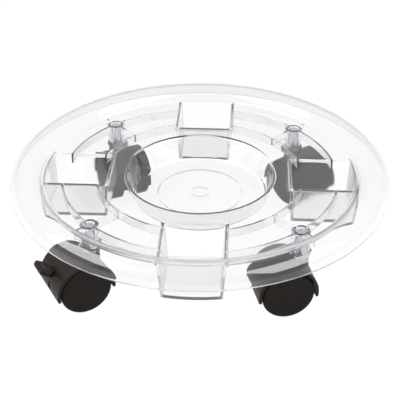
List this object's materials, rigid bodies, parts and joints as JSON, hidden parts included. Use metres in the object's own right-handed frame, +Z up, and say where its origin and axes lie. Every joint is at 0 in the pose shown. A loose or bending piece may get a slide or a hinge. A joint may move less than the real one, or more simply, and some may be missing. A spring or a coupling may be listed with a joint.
{
  "type": "plant pot caddy",
  "caption": "Round clear plastic plant caddy with a rolled brim, central well and sunken square pockets, on black hooded twin-wheel swivel casters, one with a brake.",
  "frame": {"origin": "on the floor, under the centre of the tray", "axes": "+Z up, -Y towards the front, where the pot caddy is seen from; +X to the right"},
  "size_m": [0.377, 0.3769, 0.096],
  "materials": {
    "clear_tray": "clear injection-moulded plastic, polished top, satin pocket walls",
    "caster_nylon": "black moulded nylon with a fine satin grain",
    "wheel_nylon": "black nylon wheel with a smooth satin face",
    "stem_steel": "bright zinc-plated steel"
  },
  "bodies": {
    "deck": {"tray": "clear_tray", "front_left_stem": "stem_steel", "front_left_grip_ring": "stem_steel", "front_right_stem": "stem_steel", "front_right_grip_ring": "stem_steel", "back_left_stem": "stem_steel", "back_left_grip_ring": "stem_steel", "back_right_stem": "stem_steel", "back_right_grip_ring": "stem_steel"},
    "front_left_caster": {"front_left_hood": "caster_nylon", "front_left_axle": "stem_steel", "front_left_brake_pin": "stem_steel"},
    "front_left_left_roller": {"front_left_left_wheel": "wheel_nylon"},
    "front_left_right_roller": {"front_left_right_wheel": "wheel_nylon"},
    "front_left_brake": {"front_left_brake_lever": "caster_nylon"},
    "front_right_caster": {"front_right_hood": "caster_nylon", "front_right_axle": "stem_steel"},
    "front_right_left_roller": {"front_right_left_wheel": "wheel_nylon"},
    "front_right_right_roller": {"front_right_right_wheel": "wheel_nylon"},
    "back_left_caster": {"back_left_hood": "caster_nylon", "back_left_axle": "stem_steel"},
    "back_left_left_roller": {"back_left_left_wheel": "wheel_nylon"},
    "back_left_right_roller": {"back_left_right_wheel": "wheel_nylon"},
    "back_right_caster": {"back_right_hood": "caster_nylon", "back_right_axle": "stem_steel"},
    "back_right_left_roller": {"back_right_left_wheel": "wheel_nylon"},
    "back_right_right_roller": {"back_right_right_wheel": "wheel_nylon"}
  },
  "joints": [
    {"name": "front_left_swivel", "type": "hinge", "parent": "deck", "child": "front_left_caster", "pos_m": [-0.09709, -0.09709, 0.054], "axis": [0, 0, 1], "continuous": true},
    {"name": "front_left_left_roll", "type": "hinge", "parent": "front_left_caster", "child": "front_left_left_roller", "pos_m": [-0.11037, -0.10507, 0.025], "axis": [-0.515, 0.8572, 0], "continuous": true},
    {"name": "front_left_right_roll", "type": "hinge", "parent": "front_left_caster", "child": "front_left_right_roller", "pos_m": [-0.11037, -0.10507, 0.025], "axis": [-0.515, 0.8572, 0], "continuous": true},
    {"name": "front_left_brake_press", "type": "hinge", "parent": "front_left_caster", "child": "front_left_brake", "pos_m": [-0.12494, -0.11382, 0.03646], "axis": [0.515, -0.8572, 0], "range_deg": [0, 18]},
    {"name": "front_right_swivel", "type": "hinge", "parent": "deck", "child": "front_right_caster", "pos_m": [0.09709, -0.09709, 0.054], "axis": [0, 0, 1], "continuous": true},
    {"name": "front_right_left_roll", "type": "hinge", "parent": "front_right_caster", "child": "front_right_left_roller", "pos_m": [0.08213, -0.10118, 0.025], "axis": [-0.2639, 0.9646, 0], "continuous": true},
    {"name": "front_right_right_roll", "type": "hinge", "parent": "front_right_caster", "child": "front_right_right_roller", "pos_m": [0.08213, -0.10118, 0.025], "axis": [-0.2639, 0.9646, 0], "continuous": true},
    {"name": "back_left_swivel", "type": "hinge", "parent": "deck", "child": "back_left_caster", "pos_m": [-0.09709, 0.09709, 0.054], "axis": [0, 0, 1], "continuous": true},
    {"name": "back_left_left_roll", "type": "hinge", "parent": "back_left_caster", "child": "back_left_left_roller", "pos_m": [-0.09054, 0.08304, 0.025], "axis": [-0.9063, -0.4226, 0], "continuous": true},
    {"name": "back_left_right_roll", "type": "hinge", "parent": "back_left_caster", "child": "back_left_right_roller", "pos_m": [-0.09054, 0.08304, 0.025], "axis": [-0.9063, -0.4226, 0], "continuous": true},
    {"name": "back_right_swivel", "type": "hinge", "parent": "deck", "child": "back_right_caster", "pos_m": [0.09709, 0.09709, 0.054], "axis": [0, 0, 1], "continuous": true},
    {"name": "back_right_left_roll", "type": "hinge", "parent": "back_right_caster", "child": "back_right_left_roller", "pos_m": [0.10766, 0.08575, 0.025], "axis": [-0.7314, -0.682, 0], "continuous": true},
    {"name": "back_right_right_roll", "type": "hinge", "parent": "back_right_caster", "child": "back_right_right_roller", "pos_m": [0.10766, 0.08575, 0.025], "axis": [-0.7314, -0.682, 0], "continuous": true}
  ]
}
